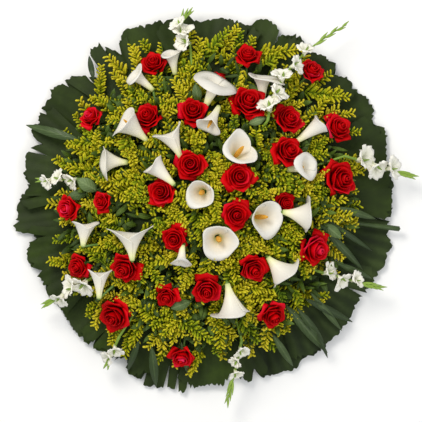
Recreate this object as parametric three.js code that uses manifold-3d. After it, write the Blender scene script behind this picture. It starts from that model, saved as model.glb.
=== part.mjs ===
// A round funeral wreath, about a metre across, lying on its back: a board and a straw pad carry
// a collar of pleated palm leaves and a dome of goldenrod set with roses, callas and gladioli.
// Millimetres. The origin is on the underside, in the middle of the board. +Z points out of the
// face of the wreath and +Y points to its top.
import * as THREE from "three";
import { mergeVertices } from "three/addons/utils/BufferGeometryUtils.js";
import Module from "manifold-3d";

const wasm = await Module();
wasm.setup();

// Driving dimensions
const GAP = 0.4; // clearance between pieces that touch
const BOARD_RADIUS = 240;
const BOARD_THICKNESS = 6;
const PAD_RADIUS = 268;
const PAD_HEIGHT = 88; // top of the straw pad above the surface
const PAD_CROWN = 30; // how much lower the pad is at its edge
const PAD_STEP_RADIUS = 188; // outside this the pad is raised, and the leaf stalks lie under it
const PAD_STEP_HEIGHT = 44;
const DOME_REACH = 400; // radius at which flower heads sit at their lowest
const RIM_HEIGHT = 70; // height of a flower head there
const CROWN_RISE = 120; // how much higher the heads in the middle sit
const BED_REACH = 348; // mean reach of the foliage and goldenrod over the collar
const BED_EDGE_HEIGHT = 68;
const BED_CROWN = 78; // how much higher the bed is in the middle
const BED_HOLLOW = 20; // room between pad and bed, where the stems are wired to their pegs
const SPRAY_RADIUS = 15;
const SPIKE_ROOM = 17; // radius that each gladiolus spike keeps free round its stem
const LEAF_ROOT_RADIUS = 185; // where the pleats of each palm leaf run together
const LEAF_THICKNESS = 2;
const LOWER_TIP_HEIGHT = 9; // the tips of the two rows of leaves above the surface
const UPPER_TIP_HEIGHT = 21;
const LEAF_STALK = 10; // the pleats start this far out from their meeting point
const LEAF_SHOULDER = 0.13; // share of its length that a leaf is shorter at its sides
const PLEAT_HEIGHT = 3;
const PLEATS = 7;
const STEM_RADIUS = 3;
const PEG_REACH = 205; // the pegs of the picks are pushed into the pad inside this radius
const PEG_DEPTH = 22;
const KNOT_ABOVE_PAD = 9; // where the stems of a pick are wired to its peg
const TURNED_SIDES = 36; // facets round the pad and the bed, which fit over each other

const DEGREE = Math.PI / 180;

// Palm leaves: direction from the middle (degrees), reach, half spread of the fan (degrees)
const LEAVES = [
  [-7, 492, 21], [12, 486, 25], [33, 496, 24], [51, 490, 22], [68, 488, 24], [89, 478, 25],
  [109, 480, 23], [127, 500, 17], [145, 482, 24], [165, 482, 25], [185, 490, 22], [203, 474, 23],
  [222, 470, 24], [239, 474, 20], [256, 490, 23], [276, 474, 22], [297, 484, 25], [319, 486, 25],
];

// Roses: x, y, diameter, direction faced (degrees), lean from straight up (degrees), lift
const ROSES = [
  [-288, 217, 62, 132, 66, 0], [-132, 352, 58, 112, 50, -4], [-143, 219, 68, 125, 34, -12],
  [-30, 230, 76, 95, 26, -8], [108, 255, 80, 68, 34, 0], [107, 372, 62, 84, 66, 4],
  [26, 308, 52, 85, 40, -53], [268, 333, 62, 52, 64, 6], [210, 210, 70, 45, 38, 4],
  [335, 190, 65, 30, 60, 0], [208, 130, 80, 32, 36, 0], [-345, -15, 65, 183, 62, 0],
  [-258, 3, 50, 170, 40, 8], [-108, 27, 75, 166, 20, 0], [-36, 95, 80, 110, 10, 0],
  [85, 65, 72, 38, 14, 0], [78, -30, 72, -20, 14, 0], [342, 60, 85, 8, 48, 0],
  [200, 0, 56, 0, 30, -22], [-200, -165, 78, 219, 36, 0], [-318, -160, 60, 207, 52, 4],
  [-228, -285, 80, 231, 48, 0], [-76, -90, 68, 230, 18, 0], [-95, -235, 60, 248, 34, -6],
  [5, -217, 73, 271, 30, 0], [122, -165, 75, 306, 28, 0], [-58, -388, 68, 261, 66, 2],
  [278, -115, 80, -22, 60, 0], [172, -282, 72, -58, 62, 0],
];

// Roses wired together on one pick, by their place in the list above; some stand alone. Two
// more numbers are the x and y of a peg that is set aside from under the middle of its heads.
const ROSE_PICKS = [
  [[0]], [[1], -96, 198], [[2, 3]], [[6], 28, 203], [[4, 5, 7], 100, 172], [[8, 9, 10], 185, 88],
  [[17, 18]], [[11, 12]], [[13, 14, 22]], [[15, 16]], [[27]], [[19, 20], -168, -98], [[21]],
  [[23, 24]], [[25, 28]], [[26]],
];

// Callas: x, y of the mouth, width, length, direction faced (degrees), lean (degrees), lift
const CALLAS = [
  [-184, 330, 52, 80, 140, 68, 14], [-206, 211, 82, 88, 132, 46, 30],
  [-86, 385, 44, 64, 100, 66, 8], [38, 325, 98, 94, 66, 56, 22],
  [144, 331, 88, 84, 96, 56, 16], [-95, 185, 70, 84, 116, 42, 14],
  [5, 183, 64, 82, 243, 40, 22], [296, 203, 54, 80, 36, 62, 14],
  [-262, 106, 84, 84, 180, 46, 14], [-135, 100, 74, 84, 137, 42, 14],
  [-298, -45, 68, 70, 100, 50, 16], [-185, -60, 104, 86, 93, 44, 18],
  [-12, 22, 68, 84, 225, 10, 10], [97, 142, 82, 86, 50, 28, 12],
  [158, -35, 78, 86, 0, 34, 14], [265, 92, 62, 78, 10, 44, 10],
  [268, -35, 80, 84, -30, 48, 14], [-262, -165, 56, 76, 88, 56, 14],
  [-60, -160, 46, 60, 265, 54, 10], [37, -95, 82, 84, 300, 12, 10],
  [78, -292, 88, 98, 283, 58, 22], [208, -185, 96, 88, -25, 36, 14],
];
const CALLA_PICKS = [
  [[0, 1]], [[2, 3], -8, 200], [[4], 70, 195], [[5, 6]], [[7], 165, 125], [[8, 9]], [[10, 11]],
  [[12]], [[13]], [[14, 16]], [[15]], [[17]], [[18, 19]], [[20]], [[21]],
];

// Gladiolus spikes: x, y, z of the start, the bend and the tip, then how far from start to tip
// each open floret sits
const GLADIOLI = [
  [[-56, 374, 94], [-62, 425, 88], [-70, 492, 66], [0.22, 0.46, 0.7]],
  [[145, 205, 138], [230, 352, 110], [355, 448, 74], [0.12, 0.34, 0.52, 0.68]],
  [[-270, 60, 104], [-340, 60, 92], [-408, 58, 76], [0.4, 0.66, 0.86]],
  [[350, 118, 88], [430, 96, 78], [520, 68, 62], [0.3, 0.52, 0.74]],
  [[-285, -188, 92], [-340, -222, 84], [-397, -252, 66], [0.12, 0.36, 0.66]],
  [[92, -345, 82], [80, -410, 76], [57, -497, 60], [0.14, 0.34, 0.54]],
  [[280, -170, 92], [350, -190, 82], [440, -212, 64], [0.14, 0.38, 0.6]],
  [[-215, -335, 78], [-230, -368, 72], [-243, -400, 60], [0.4, 0.75]],
];

// Goldenrod sprays that stand up out of the bed: x, y of the tip
const SPRAYS = [
  [-200, 385], [-245, 300], [40, 405], [208, 388], [300, 285], [345, 255], [-345, 130],
  [-200, 130], [-310, 15], [-365, -70], [-345, -120], [-290, -250], [-190, -345], [-165, -222],
  [-15, -160], [95, -232], [125, -350], [15, -370], [-60, -310], [-100, -385], [240, -245],
  [275, -285], [175, -120], [335, -65], [375, -5], [20, 60], [60, 215], [320, -215], [-60, -20],
];

const wreath = new THREE.Group();

// Materials
const hardboard = new THREE.MeshStandardMaterial({ color: 0x7a5a3a, roughness: 0.9, metalness: 0 });
const straw = new THREE.MeshStandardMaterial({ color: 0xb09a5c, roughness: 0.95, metalness: 0 });
const palm = new THREE.MeshStandardMaterial({ color: 0x36491f, roughness: 0.45, metalness: 0 });
const goldenrod = new THREE.MeshStandardMaterial({ color: 0x9c9a1c, roughness: 0.85, metalness: 0 });
const redPetal = new THREE.MeshStandardMaterial({ color: 0xc00510, roughness: 0.55, metalness: 0 });
const whitePetal = new THREE.MeshStandardMaterial({ color: 0xe8e4d8, roughness: 0.5, metalness: 0 });
const gladiolus = new THREE.MeshStandardMaterial({ color: 0xd8dcb8, roughness: 0.6, metalness: 0 });

// Booleans: a closed three.js geometry to a solid and back
function solidOf(geometry) {
  const bare = geometry.clone();
  bare.deleteAttribute("normal");
  bare.deleteAttribute("uv");
  const merged = mergeVertices(bare, 1e-4);
  const corners = merged.index.array;
  const kept = [];
  for (let i = 0; i < corners.length; i += 3) {
    const [a, b, c] = [corners[i], corners[i + 1], corners[i + 2]];
    if (a !== b && b !== c && c !== a) kept.push(a, b, c);
  }
  return new wasm.Manifold(
    new wasm.Mesh({
      numProp: 3,
      vertProperties: merged.attributes.position.array,
      triVerts: new Uint32Array(kept),
    }),
  );
}

function geometryOf(solid) {
  const mesh = solid.getMesh();
  const geometry = new THREE.BufferGeometry();
  geometry.setAttribute("position", new THREE.BufferAttribute(mesh.vertProperties, 3));
  geometry.setIndex(new THREE.BufferAttribute(mesh.triVerts, 1));
  geometry.computeVertexNormals();
  return geometry;
}

const join = (solids) => solids.reduce((whole, piece) => whole.add(piece));

function place(name, material, solid) {
  const mesh = new THREE.Mesh(geometryOf(solid), material);
  mesh.name = name;
  wreath.add(mesh);
}

// Moves each vertex of a geometry to where a function sends it
function reshape(geometry, send) {
  const places = geometry.attributes.position;
  const point = new THREE.Vector3();
  for (let i = 0; i < places.count; i += 1) {
    send(point.fromBufferAttribute(places, i));
    places.setXYZ(i, point.x, point.y, point.z);
  }
  return geometry;
}

// A turned form about Z from a profile of [radius, height] points, from the lower pole to the upper
function turned(profile, segments) {
  const points = profile.map(([radius, height]) => new THREE.Vector2(radius, height));
  return new THREE.LatheGeometry(points, segments).rotateX(Math.PI / 2);
}

// Turns a geometry from +Z to a direction and sets it down at a point
function aimed(geometry, direction, point) {
  const turn = new THREE.Quaternion().setFromUnitVectors(new THREE.Vector3(0, 0, 1), direction);
  return geometry.applyQuaternion(turn).translate(point.x, point.y, point.z);
}

function rod(from, to, radiusFrom, radiusTo, sides = 4) {
  const along = to.clone().sub(from);
  const length = along.length();
  const bar = new THREE.CylinderGeometry(radiusTo, radiusFrom, length, sides).rotateX(Math.PI / 2);
  return solidOf(aimed(bar.translate(0, 0, length / 2), along.normalize(), from));
}

const headHeight = (x, y) =>
  RIM_HEIGHT + CROWN_RISE * Math.max(0, 1 - (x * x + y * y) / DOME_REACH ** 2);

function facing(direction, lean) {
  const flat = Math.sin(lean * DEGREE);
  return new THREE.Vector3(
    flat * Math.cos(direction * DEGREE),
    flat * Math.sin(direction * DEGREE),
    Math.cos(lean * DEGREE),
  );
}

const padTop = (radius) => PAD_HEIGHT - PAD_CROWN * (radius / PAD_RADIUS) ** 2;

// Where the stems of one pick meet, just over the pad: at a given place, or inwards of the
// middle of its heads
function knotOf(heads, given) {
  const knot = new THREE.Vector3();
  heads.forEach((head) => knot.add(head));
  knot.divideScalar(heads.length).setZ(0);
  knot.setLength(Math.min(knot.length() * 0.8, PEG_REACH));
  if (given.length === 2) knot.set(given[0], given[1], 0);
  return knot.setZ(padTop(knot.length()) + KNOT_ABOVE_PAD);
}

// Board: a plain round disc that the wreath rests on, seen only from behind
place(
  "back_board",
  hardboard,
  solidOf(turned([[0, 0], [BOARD_RADIUS, 0], [BOARD_RADIUS, BOARD_THICKNESS], [0, BOARD_THICKNESS]], 48)),
);

// Palm leaf: a pleated fan about its root, trimmed round at the tip. The lower row is stapled to
// the board, the upper row is pinned under the step of the pad.
function palmLeaf(reach, halfSpread, heightAtRoot, heightAtTip) {
  const length = reach - LEAF_ROOT_RADIUS;
  const blank = new THREE.BoxGeometry(2, 1, LEAF_THICKNESS, 2 * PLEATS, 1, 1).translate(0, 0.5, 0);
  return reshape(blank, (point) => {
    const across = -point.x;
    const along = point.y;
    const fold = Math.round((across + 1) * PLEATS) % 2 === 0 ? -1 : 1;
    const notch = fold > 0 ? 1 : 0.975;
    const trimmed = length * (1 - LEAF_SHOULDER * across * across) * notch;
    const distance = LEAF_STALK + (trimmed - LEAF_STALK) * along;
    const angle = across * halfSpread * DEGREE;
    const height = heightAtRoot + (heightAtTip - heightAtRoot) * along;
    point.z += height + (fold * PLEAT_HEIGHT * distance) / length;
    point.x = LEAF_ROOT_RADIUS + distance * Math.cos(angle);
    point.y = distance * Math.sin(angle);
  });
}

LEAVES.forEach(([direction, reach, halfSpread], index) => {
  const upper = index % 2 === 1;
  const leaf = upper
    ? palmLeaf(reach, halfSpread, PAD_STEP_HEIGHT - GAP - LEAF_THICKNESS, UPPER_TIP_HEIGHT)
    : palmLeaf(reach, halfSpread, BOARD_THICKNESS + GAP + LEAF_THICKNESS, LOWER_TIP_HEIGHT);
  const name = "palm_leaf_" + String(index + 1).padStart(2, "0");
  place(name, palm, solidOf(leaf.rotateZ(direction * DEGREE)));
});

// Rose: a cup of outer petals round a groove and a raised heart, faintly three-sided
const ROSE_PROFILE = [[0, -0.6], [0.55, -0.42], [1, 0.15], [0.7, 0.3], [0.5, 0.12], [0, 0.42]];

function roseHead(diameter) {
  const radius = diameter / 2;
  const profile = ROSE_PROFILE.map(([across, up]) => [across * radius, up * radius]);
  return reshape(turned(profile, 7), (point) => {
    const angle = Math.atan2(point.y, point.x);
    const swell = 1 + 0.05 * Math.cos(3 * angle + point.z / radius);
    point.x *= swell;
    point.y *= swell;
  });
}

// Calla: a funnel of one petal with a sharp rim, drawn out to a tip on the side it faces
function callaHead(width, length) {
  const rim = width / 2;
  const profile = [
    [0, -length], [5.5, -length], [0.19 * width, -0.5 * length], [rim, 0],
    [0.13 * width, -0.4 * length], [0, -0.6 * length],
  ];
  return reshape(turned(profile, 8), (point) => {
    const angle = Math.atan2(point.y, point.x);
    const flare = (Math.hypot(point.x, point.y) / rim) ** 3;
    const tip = Math.max(0, Math.cos(angle)) ** 3;
    const pull = 1 + 0.24 * tip * flare;
    point.x *= pull;
    point.y *= pull;
    point.z += flare * rim * (0.1 * Math.cos(2 * angle) - 0.16 * Math.cos(angle));
  });
}

const clearances = []; // the room that the flowers and their stems take in the bed and the pad

// A peg from a knot down into the pad
function peg(knot) {
  const point = knot.clone().setZ(knot.z - KNOT_ABOVE_PAD - PEG_DEPTH);
  clearances.push(rod(point.clone().setZ(point.z - GAP), knot, STEM_RADIUS + 0.8, STEM_RADIUS + 0.8));
  return rod(point, knot, STEM_RADIUS, STEM_RADIUS);
}

function stem(from, to) {
  clearances.push(rod(from, to, STEM_RADIUS + 0.8, STEM_RADIUS + 0.8));
  return rod(from, to, STEM_RADIUS, STEM_RADIUS);
}

// One pick: heads whose stems are wired to a peg. head(member) gives the solids of a head and
// where its stem starts.
function pick(name, material, [members, ...given], head) {
  const heads = members.map(head);
  const knot = knotOf(heads.map((one) => one.stemTop), given);
  const stems = heads.map((one) => stem(knot, one.stemTop));
  place(name, material, join([peg(knot), ...stems, ...heads.flatMap((one) => one.solids)]));
}

ROSE_PICKS.forEach((wired, index) => {
  const name = "rose_pick_" + String(index + 1).padStart(2, "0");
  pick(name, redPetal, wired, (member) => {
    const [x, y, diameter, direction, lean, lift] = ROSES[member];
    const centre = new THREE.Vector3(x, y, headHeight(x, y) + lift);
    const axis = facing(direction, lean);
    const under = centre.clone().addScaledVector(axis, -0.36 * diameter);
    const over = centre.clone().addScaledVector(axis, 0.3 * diameter);
    clearances.push(rod(under, over, 0.37 * diameter, 0.74 * diameter, 6));
    return {
      solids: [solidOf(aimed(roseHead(diameter), axis, centre))],
      stemTop: centre.clone().addScaledVector(axis, -0.25 * diameter),
    };
  });
});

CALLA_PICKS.forEach((wired, index) => {
  const name = "calla_pick_" + String(index + 1).padStart(2, "0");
  pick(name, whitePetal, wired, (member) => {
    const [x, y, width, length, direction, lean, lift] = CALLAS[member];
    const mouth = new THREE.Vector3(x, y, headHeight(x, y) + lift);
    const axis = facing(direction, lean);
    // The tip of the petal lies on the side towards which the flower leans
    const head = callaHead(width, length).rotateZ(direction * DEGREE);
    const base = mouth.clone().addScaledVector(axis, -length - 1);
    const throat = mouth.clone().addScaledVector(axis, -0.66 * length);
    const spadixTip = mouth.clone().addScaledVector(axis, -0.08 * length);
    clearances.push(rod(base, mouth, 9, 0.7 * width, 6));
    return {
      solids: [solidOf(aimed(head, axis, mouth)), rod(throat, spadixTip, 3.5, 2)],
      stemTop: mouth.clone().addScaledVector(axis, -0.96 * length),
    };
  });
});

// Gladiolus: a stem with open florets set left and right along it and closed buds at its end
function floret(size) {
  const profile = [[0, -0.9], [0.2, -0.75], [0.62, 0.16], [0, -0.3]];
  return turned(profile.map(([across, up]) => [across * size, up * size]), 5);
}

GLADIOLI.forEach(([startPoint, bendPoint, tipPoint, florets], index) => {
  const start = new THREE.Vector3(...startPoint);
  const bend = new THREE.Vector3(...bendPoint);
  const tip = new THREE.Vector3(...tipPoint);
  const spike = new THREE.QuadraticBezierCurve3(start, bend, tip);
  const middle = spike.getPoint(0.5);
  const knot = knotOf([start], []);
  const solids = [peg(knot), stem(knot, start)];
  [[start, middle], [middle, tip]].forEach(([from, to], part) => {
    solids.push(rod(from, to, STEM_RADIUS + 1.5 - part, STEM_RADIUS + 0.5 - part));
    clearances.push(rod(from, to, SPIKE_ROOM + part, SPIKE_ROOM + part + 1, 6));
  });
  const side = (order) => (order % 2 === 0 ? 1 : -1);
  florets.forEach((share, order) => {
    const along = spike.getTangent(share);
    const aside = new THREE.Vector3(-along.y, along.x, 0).normalize().multiplyScalar(side(order));
    const axis = along.multiplyScalar(0.9).addScaledVector(aside, 0.55);
    axis.z += 0.75;
    axis.normalize();
    const size = 46 - 12 * share;
    const seat = spike.getPoint(share).addScaledVector(axis, 0.72 * size);
    solids.push(solidOf(aimed(floret(size), axis, seat)));
  });
  const budsFrom = florets[florets.length - 1];
  [0.35, 0.7].forEach((share, order) => {
    const seat = spike.getPoint(budsFrom + (1 - budsFrom) * share);
    const along = spike.getTangent(1);
    const aside = new THREE.Vector3(-along.y, along.x, 0).normalize().multiplyScalar(side(order));
    const end = seat.clone().addScaledVector(along, 24).addScaledVector(aside, 8);
    solids.push(rod(seat, end, 5.5, 1.5));
  });
  place("gladiolus_spike_" + (index + 1), gladiolus, join(solids));
});

// Straw pad: a turned cushion of bound straw, stepped up round its edge over the leaf stalks
const padRings = [PAD_RADIUS - 14, 190, 100, 0];
const padProfile = [
  [0, BOARD_THICKNESS + GAP], [PAD_STEP_RADIUS, BOARD_THICKNESS + GAP],
  [PAD_STEP_RADIUS, PAD_STEP_HEIGHT], [PAD_RADIUS - 6, PAD_STEP_HEIGHT],
  [PAD_RADIUS, PAD_STEP_HEIGHT + 10], ...padRings.map((radius) => [radius, padTop(radius)]),
];

// Goldenrod bed: foliage and goldenrod packed over the pad into one dome, lobed where it hangs
// over the collar, with sprays standing up out of it among the flowers
const bedTop = (radius) => BED_EDGE_HEIGHT + BED_CROWN * (1 - (radius / BED_REACH) ** 2);
const bedProfile = [
  [0, padTop(0) + BED_HOLLOW], [PEG_REACH + 12, padTop(PEG_REACH) + BED_HOLLOW],
  [PAD_RADIUS - 14, padTop(PAD_RADIUS - 14) + 2 * GAP], [PAD_RADIUS + GAP, PAD_STEP_HEIGHT + 10 + 2 * GAP],
  [PAD_RADIUS + 2, PAD_STEP_HEIGHT + 4], [BED_REACH - 26, 52],
  ...[BED_REACH, 280, 190, 95, 0].map((radius) => [radius, bedTop(radius)]),
];

function lobed(point) {
  const radius = Math.hypot(point.x, point.y);
  const angle = Math.atan2(point.y, point.x);
  const outer = Math.max(0, (radius - 285) / (BED_REACH - 285));
  const swell = 1 + outer * (0.05 * Math.cos(7 * angle + 1) + 0.05 * Math.cos(12 * angle));
  point.x *= swell;
  point.y *= swell;
}

function spray([x, y]) {
  const tip = new THREE.Vector3(x, y, headHeight(x, y) - 4);
  const root = new THREE.Vector3(x, y, 0).setLength(0.8 * Math.min(Math.hypot(x, y), 340));
  root.z = bedTop(root.length()) - 22;
  const along = tip.clone().sub(root);
  const form = turned([[0, 0], [0.6 * SPRAY_RADIUS, 0.3], [SPRAY_RADIUS, 0.7], [0, 1]], 5);
  form.scale(1, 1, along.length());
  return solidOf(aimed(form, along.normalize(), root));
}

const room = join(clearances);
const padBlank = solidOf(turned(padProfile, TURNED_SIDES));
const bedBlank = solidOf(reshape(turned(bedProfile, TURNED_SIDES), lobed));
place("straw_pad", straw, padBlank.subtract(room));
place("goldenrod_bed", goldenrod, join([bedBlank, ...SPRAYS.map(spray)]).subtract(room));

export default wreath;
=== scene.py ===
import math

import bpy
import numpy as np
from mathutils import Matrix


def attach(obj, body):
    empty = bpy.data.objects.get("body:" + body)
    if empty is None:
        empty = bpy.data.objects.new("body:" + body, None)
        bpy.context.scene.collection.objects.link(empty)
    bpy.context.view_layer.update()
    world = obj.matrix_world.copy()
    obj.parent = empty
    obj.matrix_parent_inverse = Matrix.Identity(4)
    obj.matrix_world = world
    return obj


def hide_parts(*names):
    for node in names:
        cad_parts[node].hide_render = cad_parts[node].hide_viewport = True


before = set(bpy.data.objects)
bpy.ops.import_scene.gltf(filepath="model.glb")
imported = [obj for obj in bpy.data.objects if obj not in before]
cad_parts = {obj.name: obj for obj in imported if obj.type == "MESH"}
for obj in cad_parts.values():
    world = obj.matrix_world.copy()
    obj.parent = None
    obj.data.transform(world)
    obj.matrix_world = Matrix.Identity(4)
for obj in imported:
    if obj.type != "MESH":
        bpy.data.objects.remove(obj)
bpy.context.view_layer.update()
MM = 0.001


# ----------------------------------------
# Camera, floor and light. The wreath lies on a pale studio floor under large
# soft lights, and a long lens looks straight down on its face.
# ----------------------------------------
CAMERA_HEIGHT = 9.0
VIEW_CENTRE = (0.015, -0.020)
FLOWER_LEVEL = 0.12
FIELD_WIDTH = 1.055  # what the view takes in at the level of the flowers
SENSOR_WIDTH = 36.0

lens = bpy.data.cameras.new("studio_camera")
lens.sensor_width = SENSOR_WIDTH
lens.lens = SENSOR_WIDTH * (CAMERA_HEIGHT - FLOWER_LEVEL) / FIELD_WIDTH
lens.clip_end = 60.0
camera = bpy.data.objects.new("studio_camera", lens)
camera.location = (*VIEW_CENTRE, CAMERA_HEIGHT)
bpy.context.scene.collection.objects.link(camera)
bpy.context.scene.camera = camera


def node(tree, kind, inputs=None, **settings):
    """Adds a shader node. An input that is a socket is linked, and any other value is set."""
    made = tree.nodes.new(kind)
    for key, value in settings.items():
        setattr(made, key, value)
    for key, value in (inputs or {}).items():
        if isinstance(value, bpy.types.NodeSocket):
            tree.links.new(value, made.inputs[key])
        else:
            made.inputs[key].default_value = value
    return made


def colour(hex_code):
    """A colour written as six hex digits, as linear light with full alpha."""
    parts = [int(hex_code[i : i + 2], 16) / 255 for i in (0, 2, 4)]
    return (*[p / 12.92 if p < 0.04045 else ((p + 0.055) / 1.055) ** 2.4 for p in parts], 1.0)


def ramp(tree, factor, stops):
    """A colour ramp from a list of (place, hex colour)."""
    made = node(tree, "ShaderNodeValToRGB", {"Fac": factor})
    line = made.color_ramp.elements
    while len(line) < len(stops):
        line.new(0.5)
    for element, (place, code) in zip(line, stops):
        element.position = place
        element.color = colour(code)
    return made.outputs["Color"]


def blank_finish(name):
    """A material with a bare Principled shader: the material, its node tree and the shader."""
    made = bpy.data.materials.new(name)
    made.use_nodes = True
    return made, made.node_tree, made.node_tree.nodes["Principled BSDF"]


FLOOR_HALF = 9.0
FLOOR_DROP = -0.0004  # just under the board, so that the two faces don't fight
floor_mesh = bpy.data.meshes.new("studio_floor")
floor_mesh.from_pydata(
    [(x * FLOOR_HALF, y * FLOOR_HALF, FLOOR_DROP) for x, y in ((-1, -1), (1, -1), (1, 1), (-1, 1))],
    [],
    [(0, 1, 2, 3)],
)
floor = bpy.data.objects.new("studio_floor", floor_mesh)
bpy.context.scene.collection.objects.link(floor)
paper, tree, shader = blank_finish("pale_paper")
shader.inputs["Base Color"].default_value = colour("f2f2f0")
shader.inputs["Roughness"].default_value = 0.9
paper_output = tree.nodes["Material Output"]
below = node(tree, "ShaderNodeNewGeometry").outputs["Backfacing"]
clear = node(tree, "ShaderNodeBsdfTransparent").outputs["BSDF"]
one_sided = node(tree, "ShaderNodeMixShader", {0: below, 1: shader.outputs["BSDF"], 2: clear})
tree.links.new(one_sided.outputs["Shader"], paper_output.inputs["Surface"])
floor_mesh.materials.append(paper)
floor.visible_diffuse = False  # the room's light reaches the back of the wreath as well
floor.visible_shadow = False

world = bpy.data.worlds.new("studio_air")
world.use_nodes = True
world.node_tree.nodes["Background"].inputs["Color"].default_value = colour("f4f6fa")
world.node_tree.nodes["Background"].inputs["Strength"].default_value = 0.75
bpy.context.scene.world = world


def soft_light(name, place, size, power, warmth="ffffff"):
    """A square area light that faces the middle of the wreath."""
    lamp = bpy.data.lights.new(name, "AREA")
    lamp.size = size
    lamp.energy = power
    lamp.color = colour(warmth)[:3]
    made = bpy.data.objects.new(name, lamp)
    made.location = place
    aim = -np.array(place)
    yaw = math.atan2(aim[1], aim[0]) - math.pi / 2
    tilt = math.atan2(math.hypot(aim[0], aim[1]), -aim[2])
    made.rotation_euler = (tilt, 0.0, yaw)
    bpy.context.scene.collection.objects.link(made)


soft_light("key_light", place=(-1.1, 1.6, 2.6), size=1.3, power=62.0, warmth="fffaf2")
soft_light("fill_light", place=(1.9, -1.2, 2.4), size=2.2, power=22.0)
bpy.context.scene.view_settings.view_transform = "Standard"


# ----------------------------------------
# Back board: a disc of pressed hardboard that the whole wreath is built on,
# sawn round and left bare, with a fine felted fibre all through it.
# ----------------------------------------
def maths(tree, operation, *values, clamp=False):
    """The output of a maths node, whose inputs take the values in order."""
    made = node(tree, "ShaderNodeMath", dict(enumerate(values)), operation=operation, use_clamp=clamp)
    return made.outputs[0]


def mottle_group():
    """A node group for the uneven growth of natural stuff. Mottle is fractal noise on the object's
    own coordinates pulled about its mean, and Grain is a finer noise for the height of a bump."""
    group = bpy.data.node_groups.new("natural_mottle", "ShaderNodeTree")
    sockets = group.interface
    for name in ("Patch Scale", "Contrast", "Grain Scale"):
        sockets.new_socket(name, in_out="INPUT", socket_type="NodeSocketFloat")
    for name in ("Mottle", "Grain"):
        sockets.new_socket(name, in_out="OUTPUT", socket_type="NodeSocketFloat")
    given = group.nodes.new("NodeGroupInput")
    result = group.nodes.new("NodeGroupOutput")
    place = node(group, "ShaderNodeTexCoord").outputs["Object"]
    patches = node(group, "ShaderNodeTexNoise", {
        "Vector": place, "Scale": given.outputs["Patch Scale"], "Detail": 4.0, "Roughness": 0.6})
    centred = maths(group, "SUBTRACT", patches.outputs["Fac"], 0.5)
    pulled = maths(group, "MULTIPLY_ADD", centred, given.outputs["Contrast"], 0.5, clamp=True)
    grain = node(group, "ShaderNodeTexNoise", {
        "Vector": place, "Scale": given.outputs["Grain Scale"], "Detail": 2.0})
    group.links.new(pulled, result.inputs["Mottle"])
    group.links.new(grain.outputs["Fac"], result.inputs["Grain"])
    return group


natural_mottle = mottle_group()


def mottled_finish(name, patch_scale, contrast, grain_scale):
    """A blank finish with the mottle group in it, and that group's two outputs."""
    made, tree, shader = blank_finish(name)
    scales = {"Patch Scale": patch_scale, "Contrast": contrast, "Grain Scale": grain_scale}
    group = node(tree, "ShaderNodeGroup", scales, node_tree=natural_mottle)
    return made, tree, shader, group.outputs["Mottle"], group.outputs["Grain"]


def dress(tree, shader, tone, stops, rough, bump, shine=0.5):
    """Gives a shader its colour from a ramp over tone, its roughness and its shine. bump is a height,
    its strength and its depth in metres."""
    tree.links.new(ramp(tree, tone, stops), shader.inputs["Base Color"])
    shader.inputs["Roughness"].default_value = rough
    shader.inputs["Specular IOR Level"].default_value = shine
    height, strength, depth = bump
    made = node(tree, "ShaderNodeBump", {"Height": height, "Strength": strength, "Distance": depth})
    tree.links.new(made.outputs["Normal"], shader.inputs["Normal"])


hardboard, tree, shader, mottle, grain = mottled_finish("hardboard", 26.0, 1.9, 900.0)
dress(tree, shader, mottle, [(0.0, "4e3522"), (0.5, "6f5036"), (1.0, "8d6b4a")],
      rough=0.82, bump=(grain, 0.5, 0.0006))
board_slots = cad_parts["back_board"].data.materials
board_slots.clear()
board_slots.append(hardboard)


# ----------------------------------------
# Straw pad: loose straw bound into a round cushion with twine. The leaf stalks
# lie under its raised edge and every stem is pushed into its top.
# ----------------------------------------
chance = np.random.default_rng(1847)


def unit(vectors):
    """Vectors divided by their own length along the last axis."""
    return vectors / np.maximum(np.linalg.norm(vectors, axis=-1, keepdims=True), 1e-9)


def round_points(radius, angle, height):
    """Points at a radius and an angle round +Z, and at a height."""
    return np.stack([radius * np.cos(angle), radius * np.sin(angle), height + 0 * angle], -1)


def shade_of(*size, red=0.5, green=0.0, blue=0.0):
    """The shade that a material reads: three channels at every point, and full alpha."""
    made = np.ones((*size, 4))
    made[..., 0] = red
    made[..., 1] = green
    made[..., 2] = blue
    return made


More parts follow.
